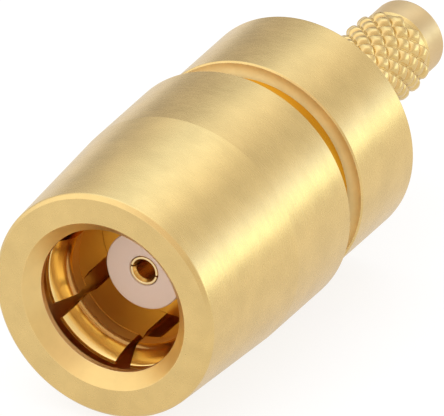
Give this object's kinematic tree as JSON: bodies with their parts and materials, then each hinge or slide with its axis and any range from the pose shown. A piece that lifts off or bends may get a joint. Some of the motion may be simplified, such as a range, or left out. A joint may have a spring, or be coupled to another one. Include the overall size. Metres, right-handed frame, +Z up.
{
  "type": "smb connector",
  "caption": "Straight push-on coaxial plug with a tapered shroud, slotted spring collet, white bead, centre socket and knurled crimp neck.",
  "frame": {"origin": "on the axis, in the middle of the mouth's cylindrical throat, 0.455 mm behind the flat front face", "axes": "+Y along the axis from the mating mouth to the cable end, +Z up through one of the collet's six slots, +X to the right seen from the mouth"},
  "size_m": [0.0066, 0.0162, 0.0066],
  "materials": {
    "gold_satin": "satin gold plating over turned brass",
    "gold_polished": "polished gold plating over spring copper alloy",
    "gold_body": "satin gold plating over turned and knurled brass",
    "white_bead": "smooth waxy white fluoropolymer",
    "gold_contact": "bright gold plating over turned brass"
  },
  "bodies": {
    "root": {"front_shroud": "gold_satin", "spring_collet": "gold_polished", "rear_body": "gold_body", "insulator": "white_bead", "centre_contact": "gold_contact"}
  },
  "joints": []
}
